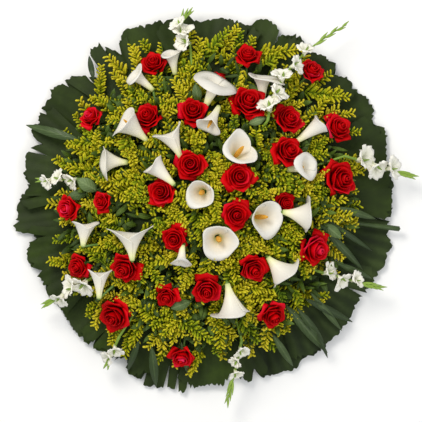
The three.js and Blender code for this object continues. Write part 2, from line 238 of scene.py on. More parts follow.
def tubes(paths, radii, sides, shade, kind=0):
    """Round bars along paths: at each path point a ring of equal angles stands across the tangent,
    and a cone to the middle closes each end. paths is (n, k, 3), or (k, 3) for one bar, radii fits
    (n, k), and shade is one tone or (n, k, 4). Returns points, quads, triangles, shade and kind."""
    paths = np.reshape(paths, (-1, *np.shape(paths)[-2:])).astype(float)
    count, steps, _ = paths.shape
    radii = np.broadcast_to(radii, (count, steps))
    if np.ndim(shade) == 0:
        shade = shade_of(count, steps, red=shade)
    tangent = unit(np.gradient(paths, axis=1))
    upright = np.zeros_like(tangent)
    upright[..., 2] = 1.0
    upright[np.abs(tangent[..., 2]) > 0.9] = (1.0, 0.0, 0.0)
    first = unit(np.cross(tangent, upright))
    second = np.cross(tangent, first)
    turn = (np.arange(sides) * 2 * np.pi / sides)[:, None]
    ring = first[:, :, None] * np.cos(turn) + second[:, :, None] * np.sin(turn)
    points = paths[:, :, None] + ring * radii[:, :, None, None]
    index = np.arange(count * steps * sides).reshape(count, steps, sides)
    ahead = np.roll(index, -1, axis=2)
    quads = np.stack([index[:, :-1], index[:, 1:], ahead[:, 1:], ahead[:, :-1]], -1).reshape(-1, 4)
    poles = np.repeat(index.size + np.arange(count * 2).reshape(count, 2, 1), sides, axis=2)
    start = np.stack([poles[:, 0], index[:, 0], ahead[:, 0]], -1)
    end = np.stack([poles[:, 1], ahead[:, -1], index[:, -1]], -1)
    tris = np.concatenate([start.reshape(-1, 3), end.reshape(-1, 3)])
    reach = radii[:, [0, -1], None] * np.array([-0.6, 0.6])[:, None]
    tips = paths[:, [0, -1]] + tangent[:, [0, -1]] * reach
    ring_shade = np.repeat(shade[:, :, None], sides, axis=2).reshape(-1, 4)
    all_shade = np.concatenate([ring_shade, shade[:, [0, -1]].reshape(-1, 4)])
    return np.concatenate([points.reshape(-1, 3), tips.reshape(-1, 3)]), quads, tris, all_shade, kind


def closed_shell(rows, low, high, tone):
    """A shell round the middle from rows of points (row, turn, 3) that climb from a pole at height
    low to a pole at height high."""
    count, turns, _ = rows.shape
    points = np.concatenate([rows.reshape(-1, 3), [[0, 0, low], [0, 0, high]]])
    index = np.arange(count * turns).reshape(count, turns)
    ahead = np.roll(index, -1, axis=1)
    quads = np.stack([index[:-1], ahead[:-1], ahead[1:], index[1:]], -1).reshape(-1, 4)
    under = np.stack([np.full(turns, index.size), ahead[0], index[0]], -1)
    over = np.stack([np.full(turns, index.size + 1), index[-1], ahead[-1]], -1)
    return points, quads, np.concatenate([under, over]), shade_of(len(points), red=tone), 0


def make_piece(name, parts, finishes, stands_for=(), crease=None):
    """One mesh from closed parts: points in mm, quads, triangles, shade, and kind, which picks the
    finish. shade is kept on the points as the attribute that the materials read."""
    points, shades, corners, sizes, kinds, base = [], [], [], [], [], 0
    for part_points, quads, tris, shade, kind in parts:
        for faces in (quads, tris):
            if len(faces):
                corners.append((np.asarray(faces) + base).reshape(-1))
                sizes.append(np.full(len(faces), np.shape(faces)[1]))
                kinds.append(np.full(len(faces), kind))
        points.append(part_points)
        shades.append(shade)
        base += len(part_points)
    points, shades = np.concatenate(points) * MM, np.concatenate(shades)
    corners, sizes, kinds = np.concatenate(corners), np.concatenate(sizes), np.concatenate(kinds)
    mesh = bpy.data.meshes.new(name)
    mesh.vertices.add(len(points))
    mesh.vertices.foreach_set("co", points.astype(np.float32).reshape(-1))
    mesh.loops.add(len(corners))
    mesh.loops.foreach_set("vertex_index", corners.astype(np.int32))
    mesh.polygons.add(len(sizes))
    mesh.polygons.foreach_set("loop_start", (np.cumsum(sizes) - sizes).astype(np.int32))
    mesh.polygons.foreach_set("material_index", kinds.astype(np.int32))
    mesh.update(calc_edges=True)
    mesh.polygons.foreach_set("use_smooth", np.ones(len(sizes), bool))
    held = mesh.attributes.new("shade", "FLOAT_COLOR", "POINT")
    held.data.foreach_set("color", shades.astype(np.float32).reshape(-1))
    if crease is not None:
        mesh.set_sharp_from_angle(angle=math.radians(crease))
    for finish in finishes:
        mesh.materials.append(finish)
    piece = bpy.data.objects.new(name, mesh)
    bpy.context.scene.collection.objects.link(piece)
    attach(piece, "root")
    if stands_for:
        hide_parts(*stands_for)


def shade_channels(tree):
    """The three channels of the shade that a piece keeps on its points."""
    held = node(tree, "ShaderNodeAttribute", attribute_name="shade")
    split = node(tree, "ShaderNodeSeparateColor", {"Color": held.outputs["Color"]})
    return split.outputs["Red"], split.outputs["Green"], split.outputs["Blue"]


PAD_RADIUS, PAD_HEIGHT, PAD_CROWN = 268.0, 88.0, 30.0
PAD_STEP_RADIUS, PAD_STEP_HEIGHT, BOARD_TOP = 188.0, 44.0, 6.4
PAD_TURNS = 180
TWINE_WRAPS = 24
STRAWS = 900


def pad_top(radius):
    """Height of the pad: a crown that falls with the square of the radius."""
    return PAD_HEIGHT - PAD_CROWN * (radius / PAD_RADIUS) ** 2


def straw_pad():
    """The pad's section is carried round the middle; its radius swells between the twine wraps
    by the cosine of 24 times the angle, and small random ripples run round it."""
    side = [(60.0, BOARD_TOP), (PAD_STEP_RADIUS, BOARD_TOP), (PAD_STEP_RADIUS, PAD_STEP_HEIGHT),
            (PAD_RADIUS - 8, PAD_STEP_HEIGHT), (PAD_RADIUS, PAD_STEP_HEIGHT + 9)]
    crown = [(r, pad_top(r)) for r in (PAD_RADIUS - 12, 225.0, 190.0, 140.0, 90.0, 45.0)]
    section = np.array(side + crown)
    around = np.arange(PAD_TURNS) * 2 * np.pi / PAD_TURNS
    outward = np.clip((section[:, 0] - 150) / 118, 0, 1)[:, None]
    swell = 1 - 0.010 * outward * (1 - np.abs(np.cos(TWINE_WRAPS / 2 * around)) ** 0.5)
    radius = section[:, :1] * swell + chance.normal(0, 0.5, (len(section), PAD_TURNS)) * outward
    height = section[:, 1:] + chance.normal(0, 0.35, (len(section), PAD_TURNS)) * outward
    rows = round_points(radius, around, height)
    return closed_shell(rows, BOARD_TOP, pad_top(0), 0.5)


def loose_straws():
    """Straws that lie round the pad's edge: short arcs at a random place on its outer section."""
    place = chance.uniform(0, 2 * np.pi, STRAWS)
    span = chance.uniform(0.08, 0.3, STRAWS)
    step = np.linspace(-0.5, 0.5, 5)
    angle = place[:, None] + span[:, None] * step
    ride = chance.uniform(0, 1, STRAWS)[:, None] + chance.uniform(-0.08, 0.08, STRAWS)[:, None] * step
    way, line, level = np.transpose([
        (0, PAD_RADIUS - 40, PAD_STEP_HEIGHT + 0.4), (0.3, PAD_RADIUS - 8, PAD_STEP_HEIGHT + 0.6),
        (0.45, PAD_RADIUS + 0.6, PAD_STEP_HEIGHT + 9), (0.6, PAD_RADIUS - 10, pad_top(258) + 0.6),
        (1, 222, pad_top(222) + 0.6)])
    radius, height = np.interp(ride, way, line), np.interp(ride, way, level)
    paths = round_points(radius, angle, height)
    shade = shade_of(STRAWS, 5) * chance.uniform(0.4, 1.6, (STRAWS, 1, 1))
    return tubes(paths, np.array([0.6, 1, 1, 1, 0.6]) * 0.9, 3, shade)


def twine():
    """Twine loops over the edge of the pad, one at each place where it is drawn in."""
    angle = ((np.arange(TWINE_WRAPS) + 0.5) * 2 * np.pi / TWINE_WRAPS)[:, None]
    low = [(r, PAD_STEP_HEIGHT + over) for r, over in ((196, 1.2), (230, 0.9), (258, 1.0), (266.5, 8))]
    high = [(r, pad_top(r) + over) for r, over in ((256, 0.6), (236, 0.8), (206, 0.4), (190, -1))]
    radius, height = np.transpose(low + high)
    return tubes(round_points(radius, angle, height), 1.1, 6, 0.9)


straw, tree, shader, mottle, grain = mottled_finish("bound_straw", 60.0, 1.8, 420.0)
tone, _, _ = shade_channels(tree)
mixed = maths(tree, "MULTIPLY", tone, mottle)
dress(tree, shader, mixed, [(0.0, "6b5427"), (0.3, "a58b4c"), (0.8, "cdb574")],
      rough=0.85, bump=(grain, 0.8, 0.002))
make_piece("straw_pad_bound", [straw_pad(), loose_straws(), twine()], [straw], ["straw_pad"])


# ----------------------------------------
# Collar of palm leaves: eighteen pieces of fan palm, each pleated from its
# root, in two rows. The lower row is stapled to the board and the upper row
# pinned under the pad, and scissors have trimmed them all round.
# ----------------------------------------
PALM_LEAVES = [
    (-7, 492, 27), (12, 486, 25), (33, 496, 24), (51, 490, 22), (68, 488, 24), (89, 478, 25),
    (109, 480, 23), (127, 500, 17), (145, 482, 24), (165, 482, 25), (185, 490, 22), (203, 474, 23),
    (222, 470, 24), (239, 474, 20), (256, 490, 23), (276, 474, 22), (297, 484, 25), (319, 486, 29),
]  # direction from the middle, reach, half spread of the fan
TRIM_LINE = [
    (-475, 10), (-484, -10), (-490, -49), (-480, -73), (-442, -81), (-430, -95), (-453, -103),
    (-455, -142), (-444, -167), (-420, -172), (-433, -188), (-412, -215), (-395, -250), (-375, -270),
    (-362, -282), (-345, -310), (-330, -328), (-310, -351), (-272, -380), (-236, -403), (-205, -392),
    (-198, -436), (-166, -454), (-150, -467), (-110, -472), (-62, -486), (-30, -470), (15, -472),
    (47, -472), (66, -440), (92, -452), (118, -461), (124, -424), (146, -447), (197, -432), (234, -427),
    (250, -397), (281, -387), (338, -346), (368, -309), (383, -274), (425, -228), (428, -200),
    (452, -165), (479, -111), (466, -84), (469, -50), (481, -20), (481, 13), (478, 60), (474, 107),
    (466, 164), (454, 196), (430, 202), (432, 245), (409, 272), (378, 306), (361, 324), (338, 330),
    (331, 359), (304, 386), (268, 388), (247, 420), (232, 432), (198, 435), (183, 459), (140, 474),
    (112, 452), (84, 470), (40, 478), (0, 470), (-40, 480), (-90, 470), (-150, 456), (-205, 440),
    (-222, 415), (-212, 376), (-275, 417), (-297, 398), (-297, 378), (-264, 324), (-342, 325),
    (-370, 300), (-395, 290), (-390, 275), (-408, 255), (-428, 225), (-430, 210), (-450, 190),
    (-437, 165), (-417, 152), (-455, 140), (-470, 95), (-460, 60), (-456, 38),
]  # x and y of the line that the scissors followed, round the whole collar
LEAF_ROOT = 185.0
LEAF_PLEATS = 9
COLUMNS_A_PLEAT = 6
LEAF_STEPS = 16
LEAF_SHEET = 1.1
LOWER_ROW, UPPER_ROW = (9.6, 10.5), (42.0, 22.0)  # heights at the root and at the tip
RIB_DEPTH = 1.1
LEAF_WIDENING = 1.14  # how much wider than its pinned part a leaf spreads

trim = np.array(TRIM_LINE, float)
trim_angle = np.arctan2(trim[:, 1], trim[:, 0])
trim_order = np.argsort(trim_angle)
trim_angle, trim_reach = trim_angle[trim_order], np.hypot(trim[:, 0], trim[:, 1])[trim_order]


def thin_sheets(sheet, thickness, shade, kind=0):
    """Closed leaves of an even thickness. sheet is (n, rows, columns, 3): the grid is moved half the
    thickness along its own normal to both sides, and a narrow wall joins the two round the edge."""
    count, rows, columns, _ = sheet.shape
    if np.ndim(shade) == 0:
        shade = shade_of(count, rows, columns, red=shade)
    half = unit(np.cross(np.gradient(sheet, axis=2), np.gradient(sheet, axis=1))) * thickness / 2
    points = np.stack([sheet + half, sheet - half], 1)
    index = np.arange(count * 2 * rows * columns).reshape(count, 2, rows, columns)
    top, low = index[:, 0], index[:, 1]
    near, far = slice(None, -1), slice(1, None)
    corners = [(near, near), (near, far), (far, far), (far, near)]
    over = np.stack([top[:, i, j] for i, j in corners], -1)
    under = np.stack([low[:, i, j] for i, j in corners[::-1]], -1)
    walls = [
        np.stack([top[:, 0, 1:], top[:, 0, :-1], low[:, 0, :-1], low[:, 0, 1:]], -1),
        np.stack([top[:, -1, :-1], top[:, -1, 1:], low[:, -1, 1:], low[:, -1, :-1]], -1),
        np.stack([top[:, :-1, 0], top[:, 1:, 0], low[:, 1:, 0], low[:, :-1, 0]], -1),
        np.stack([top[:, 1:, -1], top[:, :-1, -1], low[:, :-1, -1], low[:, 1:, -1]], -1),
    ]
    quads = np.concatenate([f.reshape(-1, 4) for f in (over, under, *walls)])
    both = np.stack([shade, shade], 1).reshape(-1, 4)
    return points.reshape(-1, 3), quads, np.zeros((0, 3), int), both, kind


def palm_sheet(direction, reach, half_spread, upper, ribbed):
    """A fan about its root. Each column of the grid runs straight out to the trim line; the blade
    rises and falls by the cosine of the way across as shallow pleats, deeper further out. Its
    edge is jagged by a small random cut at every column, steps from pleat to pleat, and is split
    back from the edge in a few valleys."""
    columns = COLUMNS_A_PLEAT * LEAF_PLEATS + 1
    across = np.linspace(-1, 1, columns)
    phase = np.arange(columns) // COLUMNS_A_PLEAT
    bearing = math.radians(direction) + across * math.radians(half_spread * LEAF_WIDENING)
    root = LEAF_ROOT * np.array([math.cos(math.radians(direction)), math.sin(math.radians(direction))])
    out = np.stack([np.cos(bearing), np.sin(bearing)], -1)
    distance = np.full(columns, reach - LEAF_ROOT)
    for _ in range(6):
        place = root + out * distance[:, None]
        radius = np.hypot(place[:, 0], place[:, 1])
        wanted = np.interp(np.arctan2(place[:, 1], place[:, 0]), trim_angle, trim_reach, period=2 * np.pi)
        distance = distance + (wanted - radius)
    distance = np.minimum(distance, (reach - LEAF_ROOT) * (1.06 - 0.08 * across**2))
    jag = chance.uniform(0.0, 0.022, columns) + np.where(chance.uniform(0, 1, columns) < 0.12, 0.02, 0.0)
    step = np.abs(chance.normal(0, 0.012, LEAF_PLEATS + 1))[phase]
    valley = np.arange(columns) % COLUMNS_A_PLEAT == 0
    torn = valley & (chance.uniform(0, 1, columns) < 0.22)
    split = np.where(torn, chance.uniform(0.06, 0.2, columns), 0.0)
    distance = distance * (1 - (0.018 if upper else 0.0) - jag - step - split)
    along = np.linspace(0.035, 1, LEAF_STEPS)[:, None]
    from_root, at_tip = UPPER_ROW if upper else LOWER_ROW
    fold = -np.cos(np.arange(columns) * 2 * np.pi / COLUMNS_A_PLEAT)
    run = along * distance
    height = from_root + (at_tip - from_root) * run / (reach - LEAF_ROOT)
    height = height + RIB_DEPTH * (1.0 if ribbed else 0.4) * fold * (0.2 + 0.8 * along)
    droop = chance.uniform(-5.0, 3.0) if not upper else chance.uniform(-6.0, 6.0)
    bow = chance.uniform(-5.0, 5.0)
    height = height + droop * along**2 + bow * across * along
    height = height + 4.0 * np.sin(3 * across + chance.uniform(0, 6)) * along**2
    height = height + 1.5 * np.sin(9 * across + 5 * along + chance.uniform(0, 6)) * along**3
    height = np.maximum(height, 2.0 + 0.8 * fold)
    sheet = np.stack([root[0] + out[:, 0] * run, root[1] + out[:, 1] * run, height], -1)
    shade = shade_of(1, LEAF_STEPS, columns, red=fold * 0.5 + 0.5, green=across * 0.5 + 0.5, blue=along)
    return thin_sheets(sheet[None], LEAF_SHEET, shade)


def palm_finish(name, pleat_light_and_shade, dark, middle, light):
    """Dark green blade with painted light and shade on its pleats, paler on the ridges and darker in the
    valleys, and fine lengthwise veins from a wave across it.
    """
    made, tree, shader, mottle, grain = mottled_finish(name, 9.0, 2.2, 300.0)
    ridge, across, _ = shade_channels(tree)
    lines = maths(tree, "SINE", maths(tree, "MULTIPLY", across, 640.0))
    fine = maths(tree, "MULTIPLY_ADD", lines, 0.035, mottle)
    # Painted light and shade: the fold lightens the pleat ridges and darkens the valleys.
    pleat_shaded_tone = maths(tree, "MULTIPLY_ADD", ridge, pleat_light_and_shade, fine)
    tone = maths(tree, "SUBTRACT", pleat_shaded_tone, pleat_light_and_shade / 2, clamp=True)
    both = maths(tree, "MULTIPLY_ADD", lines, 0.3, grain)
    dress(tree, shader, tone, [(0.0, dark), (0.5, middle), (1.0, light)],
          rough=0.5, shine=0.16, bump=(both, 0.35, 0.0006))
    return made


# The ribbed leaves get much stronger painted light and shade on their pleats than the smooth ones.
palm_green = palm_finish("palm_green", 0.05, "1a2508", "26340c", "364812")
palm_grey = palm_finish("palm_grey_green", 0.36, "18220c", "263313", "3b4a22")

for number, (direction, reach, half_spread) in enumerate(PALM_LEAVES, start=1):
    ribbed = -70 < (direction + 180) % 360 - 180 < 8
    leaf = palm_sheet(direction, reach, half_spread, number % 2 == 0, ribbed)
    finish = palm_grey if ribbed else palm_green
    solid = f"palm_leaf_{number:02d}"
    make_piece(f"palm_fan_{number:02d}", [leaf], [finish], [solid], crease=32)


# ----------------------------------------
# Foliage under the flowers: dark leafy stems laid over the pad in a low dome,
# with a few pale oval leaves and long blades pushed in between.
# ----------------------------------------
BED_REACH, BED_EDGE, BED_CROWN = 348.0, 68.0, 78.0
UNDERLAY_DROP = 20.0
LEAFLETS = 1400
DOME_EDGE, DOME_RISE, DOME_REACH = 70.0, 120.0, 400.0
SPIRAL_TURN = 2.39996  # radians from one place on a sunflower spiral to the next


def bed_top(radius):
    """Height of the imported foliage: a crown that falls with the square of the radius."""
    return BED_EDGE + BED_CROWN * (1 - (radius / BED_REACH) ** 2)


def head_height(x, y):
    """Height at which flower heads sit over the place x, y: it falls with the square of the radius."""
    return DOME_EDGE + DOME_RISE * np.maximum(0, 1 - (x**2 + y**2) / DOME_REACH**2)


def underlay():
    """Matted stalks and leaf litter: a shell between pad and flowers, its top crumpled by three
    crossed waves and random lumps, its edge lobed by waves round the angle."""
    turns, rings = 120, 18
    around = np.arange(turns) * 2 * np.pi / turns
    lobe = 1 + 0.04 * np.cos(7 * around + 1) + 0.04 * np.cos(12 * around)
    share = np.linspace(0.05, 1, rings)
    reach = (share * 318)[:, None] * (1 + (lobe - 1) * share[:, None] ** 4)
    x, y = reach * np.cos(around), reach * np.sin(around)
    lump = 3 * np.sin(x / 17) * np.cos(y / 13) + 2.5 * np.sin((x + y) / 9) + chance.normal(0, 2.2, x.shape)
    top = bed_top(reach) - UNDERLAY_DROP + lump
    low_reach = np.stack([lobe * 312, lobe * 290, np.full(turns, 271.0)])
    low = np.stack([np.full(turns, 58.0), np.full(turns, 53.0), np.full(turns, 57.5)])
    rows = np.concatenate([np.stack([x, y, top], -1), round_points(low_reach, around, low)])
    return closed_shell(rows[::-1], 100.0, bed_top(0) - UNDERLAY_DROP, 0.25)


def blades(root, tip, width, rise, lift, thickness, rows=7, fold=0.18):
    """Lance-shaped leaves from root to tip, (n, 3) each. Width follows the sine of the way along
    raised to a power, the middle is folded down into a keel, and the leaf arches by rise."""
    way = np.linspace(0, 1, rows)
    line = root[:, None] + (tip - root)[:, None] * way[None, :, None]
    line[..., 2] += np.reshape(rise, (-1, 1)) * np.sin(np.pi * way) + lift * way**2
    aside = unit(np.cross(unit(tip - root), np.array([0.0, 0.0, 1.0])))
    shape = np.maximum(np.sin(np.pi * np.clip(way * 0.97 + 0.02, 0, 1)) ** 0.8, 0.06)
    across = np.array([-1.0, 0.0, 1.0])
    broad = (width[:, None] * shape)[..., None]
    sheet = line[:, :, None] + across[:, None] * aside[:, None, None] * broad[..., None] / 2
    sheet[..., 2] += fold * np.abs(across) * broad
    tone = chance.uniform(0.2, 0.8, len(root))[:, None, None]
    shade = shade_of(len(root), rows, 3, red=tone, green=across * 0.5 + 0.5, blue=way[:, None])
    return thin_sheets(sheet, thickness, shade)


def leaf_finish(name, stops, rough, shine):
    """Leaf with a paler middle vein and slanting side veins drawn by its own two directions."""
    made, tree, shader, mottle, grain = mottled_finish(name, 35.0, 1.4, 500.0)
    tone, across, along = shade_channels(tree)
    off_middle = maths(tree, "ABSOLUTE", maths(tree, "SUBTRACT", across, 0.5))
    vein = maths(tree, "LESS_THAN", off_middle, 0.07)
    slant = maths(tree, "MULTIPLY_ADD", off_middle, -22.0, maths(tree, "MULTIPLY", along, 40.0))
    rib = maths(tree, "SINE", slant)
    mixed = maths(tree, "MULTIPLY_ADD", mottle, 0.35, tone)
    mixed = maths(tree, "MULTIPLY_ADD", vein, 0.18, mixed)
    mixed = maths(tree, "MULTIPLY_ADD", rib, 0.03, mixed)
    mixed = maths(tree, "SUBTRACT", mixed, 0.17, clamp=True)
    both = maths(tree, "MULTIPLY_ADD", rib, 0.5, grain)
    dress(tree, shader, mixed, stops, rough=rough, shine=shine, bump=(both, 0.4, 0.0008))
    return made


ROSES = [
    (-288, 217, 62, 132, 66, 0), (-130, 352, 66, 112, 50, -10), (-143, 216, 76, 125, 34, -18),
    (-30, 230, 76, 95, 26, -8), (108, 253, 88, 68, 30, 0), (107, 372, 62, 84, 66, 4),
    (26, 308, 52, 85, 40, -53), (268, 333, 62, 52, 64, 6), (210, 210, 70, 45, 38, 4),
    (335, 190, 70, 30, 60, 0), (208, 130, 80, 32, 36, 0), (-345, -15, 65, 183, 62, 0),
    (-258, 3, 56, 170, 40, 8), (-108, 27, 75, 166, 20, -7), (-36, 95, 80, 110, 10, -4),
    (85, 65, 72, 38, 14, 0), (78, -30, 72, -20, 14, 0), (342, 60, 85, 8, 48, 0),
    (200, 0, 56, 0, 30, -22), (-200, -165, 78, 219, 36, 0), (-318, -160, 60, 207, 52, 4),
    (-228, -285, 80, 231, 48, 0), (-76, -90, 68, 230, 18, -5), (-95, -235, 60, 248, 34, -6),
    (5, -217, 73, 271, 30, 0), (122, -165, 75, 306, 28, 0), (-58, -388, 68, 261, 66, 2),
    (278, -115, 80, -22, 60, 0), (172, -282, 72, -58, 62, 0),
]  # x, y, diameter, direction faced, lean from straight up, lift over the dome
CALLAS = [
    (-186, 330, 56, 74, 140, 80, 24, 150, 0.2, 0.7), (-206, 211, 80, 86, 138, 73, 34, 60, 0.3, 0.2),
    (-86, 385, 50, 64, 100, 78, 8, 150, 0.2, 0.4), (38, 325, 104, 94, 66, 86, 24, 176, 0.1, 1.0),
    (144, 331, 84, 74, 90, 84, 16, -110, 0.2, 0.7), (-95, 185, 70, 80, 116, 84, 18, 0, 0.7, 0.15),
    (5, 183, 58, 78, 243, 56, 22, 0, 0.6, 0.4), (296, 203, 46, 88, 36, 92, 14, 150, 0.2, 0.1),
    (-262, 106, 78, 70, 176, 82, 14, 110, 0.3, 0.3), (-135, 100, 54, 80, 137, 90, 21, 170, 0.2, 0.1),
    (-298, -45, 62, 64, 84, 84, 16, 20, 0.6, 0.15), (-185, -60, 104, 84, 93, 84, 18, -12, 0.8, 0.25),
    (-12, 22, 66, 68, 225, 10, 10, 0, 0.2, 0.0), (97, 142, 84, 80, 50, 34, 14, 150, 0.6, 0.1),
    (158, -35, 84, 80, 0, 32, 14, -70, 0.3, 0.1), (270, 94, 66, 74, 10, 60, 26, 165, 0.1, 0.8),
    (266, -35, 86, 74, -10, 94, 16, 60, 0.2, 0.2), (-262, -165, 54, 74, 88, 86, 14, 0, 0.6, 0.2),
    (-60, -160, 48, 56, 265, 80, 16, 176, 0.3, 0.7), (37, -95, 84, 66, 300, 10, 10, -50, 0.3, 0.0),
    (74, -288, 88, 90, 282, 94, 24, -70, 0.3, 0.2), (206, -190, 88, 74, -48, 92, 16, 60, 0.4, 0.1),
]  # x, y of the mouth, width, length, direction faced, lean, lift, then the turn of the tip, the
# depth of the notch and how suddenly the lip opens and rolls back
GLADIOLI = [
    ((-38, 398, 78), (-84, 440, 84), (-42, 476, 66), (0.04, 0.27, 0.52), 0.78),
    ((156, 205, 160), (174, 350, 114), (355, 448, 74), (0.09, 0.22, 0.37, 0.51, 0.65), 0.82),
    ((-270, 60, 104), (-340, 60, 92), (-408, 58, 76), (0.4, 0.66, 0.86), 0.75),
    ((350, 118, 88), (430, 96, 78), (520, 68, 62), (0.22, 0.44, 0.66), 0.95),
    ((-285, -188, 92), (-340, -222, 84), (-397, -252, 66), (0.12, 0.36, 0.66), 0.9),
    ((92, -345, 82), (80, -410, 76), (57, -497, 60), (0.14, 0.34, 0.54), 0.6),
    ((280, -170, 92), (350, -190, 82), (440, -212, 64), (0.14, 0.38, 0.6), 0.75),
    ((-215, -335, 78), (-230, -368, 72), (-243, -400, 60), (0.4, 0.75), 0.7),
]  # start, bend and tip of the stem, the share of the way at which each open floret sits, their size


def facing(direction, lean):
    """Unit vector of a compass direction leaned away from straight up."""
    direction, lean = np.radians(direction), np.radians(lean)
    return np.stack([np.sin(lean) * np.cos(direction), np.sin(lean) * np.sin(direction), np.cos(lean)], -1)


roses, callas = np.array(ROSES, float), np.array(CALLAS, float)
rose_axis = facing(roses[:, 3], np.minimum(roses[:, 4], 20 + 0.38 * roses[:, 4]))
rose_centre = np.column_stack([roses[:, :2], head_height(roses[:, 0], roses[:, 1]) + roses[:, 5]])
calla_axis = facing(callas[:, 4], callas[:, 5])
calla_mouth = np.column_stack([callas[:, :2], head_height(callas[:, 0], callas[:, 1]) + callas[:, 6]])


def spike_point(spike, share):
    """Point of a gladiolus stem: the quadratic curve through its start, bend and tip."""
    start, bend, tip = (np.array(p, float) for p in spike[:3])
    share = np.asarray(share, float)[..., None]
    return start * (1 - share) ** 2 + 2 * bend * share * (1 - share) + tip * share**2


# Room that the greenery keeps clear, as balls: middle, radius
room_centre, room_radius = [], []
for centre, axis, size in zip(rose_centre, rose_axis, roses[:, 2]):
    room_centre += [centre + axis * 0.02 * size, centre - axis * 0.28 * size]
    room_radius += [0.46 * size, 0.33 * size]
for mouth, axis, width, length in zip(calla_mouth, calla_axis, callas[:, 2], callas[:, 3]):
    for share, part in ((-0.05, 0.50), (0.1, 0.48), (0.25, 0.38), (0.42, 0.26), (0.6, 0.18), (0.8, 0.13)):
        room_centre.append(mouth - axis * share * length)
        room_radius.append(part * width + 4)
for spike in GLADIOLI:
    for share in spike[3]:
        room_centre.append(spike_point(spike, share) + np.array([0.0, 0.0, 12.0]))
        room_radius.append(20.0)
room_centre, room_radius = np.array(room_centre), np.array(room_radius)


def crowded(points, margin=0.0):
    """True where a point lies in a flower's room, or would hide it from in front."""
    blocked = np.zeros(len(points), bool)
    for centre, radius in zip(room_centre, room_radius):
        aside = np.hypot(points[:, 0] - centre[0], points[:, 1] - centre[1])
        above = points[:, 2] - centre[2]
        near = np.sqrt(aside**2 + above**2) < radius + margin
        blocked |= near | ((aside < 0.94 * radius + margin) & (above > 0))
    return blocked


def leafy_filling():
    """Short dark leaves all over the low dome, on a sunflower spiral, aimed outwards at random."""
    order = np.arange(LEAFLETS) + 0.5
    radius = 350 * np.sqrt(order / LEAFLETS)
    angle = order * SPIRAL_TURN + chance.normal(0, 0.05, LEAFLETS)
    x, y = radius * np.cos(angle), radius * np.sin(angle)
    root = np.column_stack([x, y, bed_top(radius) - UNDERLAY_DROP + chance.uniform(-2, 6, LEAFLETS)])
    toward = facing(np.degrees(angle) + chance.normal(0, 55, LEAFLETS), chance.uniform(38, 84, LEAFLETS))
    tip = root + toward * chance.uniform(30, 58, LEAFLETS)[:, None]
    keep = ~crowded(tip, -2) & ~crowded((root + tip) / 2, -2)
    root, tip = root[keep], tip[keep]
    width = chance.uniform(8, 16, len(root))
    return blades(root, tip, width, chance.uniform(2, 8, len(root)), 0.0, 0.7, rows=5)


OVAL_LEAVES = [
    (-295, 45, 60, 34, 150), (-320, 20, 52, 26, 190), (-20, 275, 50, 24, 100), (-60, -255, 54, 26, 200),
    (130, 205, 46, 22, 20), (320, -70, 60, 26, -40),
]  # x and y of the middle, length, width, direction
LONG_BLADES = [
    (285, -50, 397, -168, 20, 96, 60), (300, -40, 420, -120, 14, 92, 52),
    (202, -255, 309, -378, 26, 88, 30), (230, -262, 300, -350, 18, 90, 34),
    (250, -240, 372, -300, 20, 90, 34), (265, -225, 345, -322, 16, 88, 40),
    (-134, -360, -124, -464, 22, 78, 30), (-165, -345, -196, -424, 16, 78, 32),
    (-312, 157, -452, 197, 24, 74, 34), (-280, 310, -293, 372, 15, 70, 36),
    (285, -330, 310, -392, 9, 60, 30), (330, -10, 430, -40, 18, 88, 46),
    (-60, -350, -40, -440, 14, 80, 36), (170, -330, 222, -412, 18, 78, 34),
    (330, -150, 420, -190, 16, 80, 40),
]  # x and y of root and tip, width, height at root, height at tip

dark_leaf = leaf_finish("dark_filler_leaf", [(0.0, "1f2d0c"), (0.5, "3a5014"), (1.0, "5f7822")], 0.55, 0.3)
matted_stalks = leaf_finish("matted_stalks", [(0.0, "141c08"), (0.5, "24320e"), (1.0, "3a4c16")], 0.8, 0.2)
pale_leaf = leaf_finish("pale_oval_leaf", [(0.0, "33481f"), (0.5, "506636"), (1.0, "7b8f5e")], 0.5, 0.3)
blade_leaf = leaf_finish("long_blade_leaf", [(0.0, "1c2a10"), (0.5, "30421c"), (1.0, "56693c")], 0.4, 0.3)

make_piece("foliage_underlay", [underlay()], [matted_stalks], ["goldenrod_bed"])
make_piece("filler_leaves", [leafy_filling()], [dark_leaf], ["goldenrod_bed"])

ovals = np.array(OVAL_LEAVES, float)
oval_way = facing(ovals[:, 4], np.full(len(ovals), 78.0))
oval_middle = np.column_stack([ovals[:, :2], head_height(ovals[:, 0], ovals[:, 1]) - 14])
oval_half = oval_way * ovals[:, 2:3] / 2
oval_root, oval_tip = oval_middle - oval_half, oval_middle + oval_half
oval_leaves = blades(oval_root, oval_tip, ovals[:, 3], 4.0, -3.0, 0.9, rows=9, fold=0.12)
make_piece("pale_oval_leaves", [oval_leaves], [pale_leaf])
for share in (-0.3, 0.0, 0.3):  # the plumes keep off the ovals too
    room_centre = np.vstack([room_centre, oval_middle + oval_way * ovals[:, 2:3] * share])
    room_radius = np.append(room_radius, ovals[:, 3] * 0.4)

STUB_PATH = [(330, -44, 62), (400, -53, 40), (450, -60, 34), (490, -65, 30)]  # stalk cut off at the rim
stub = tubes(STUB_PATH, [5.0, 6.0, 6.5, 6.5], 8, 0.55)
longs = np.array(LONG_BLADES, float)
long_root, long_tip = longs[:, [0, 1, 5]], longs[:, [2, 3, 6]]
long_leaves = blades(long_root, long_tip, longs[:, 4], 12.0, -6.0, 0.9, rows=12, fold=0.16)
make_piece("long_leaf_blades", [long_leaves, stub], [blade_leaf])


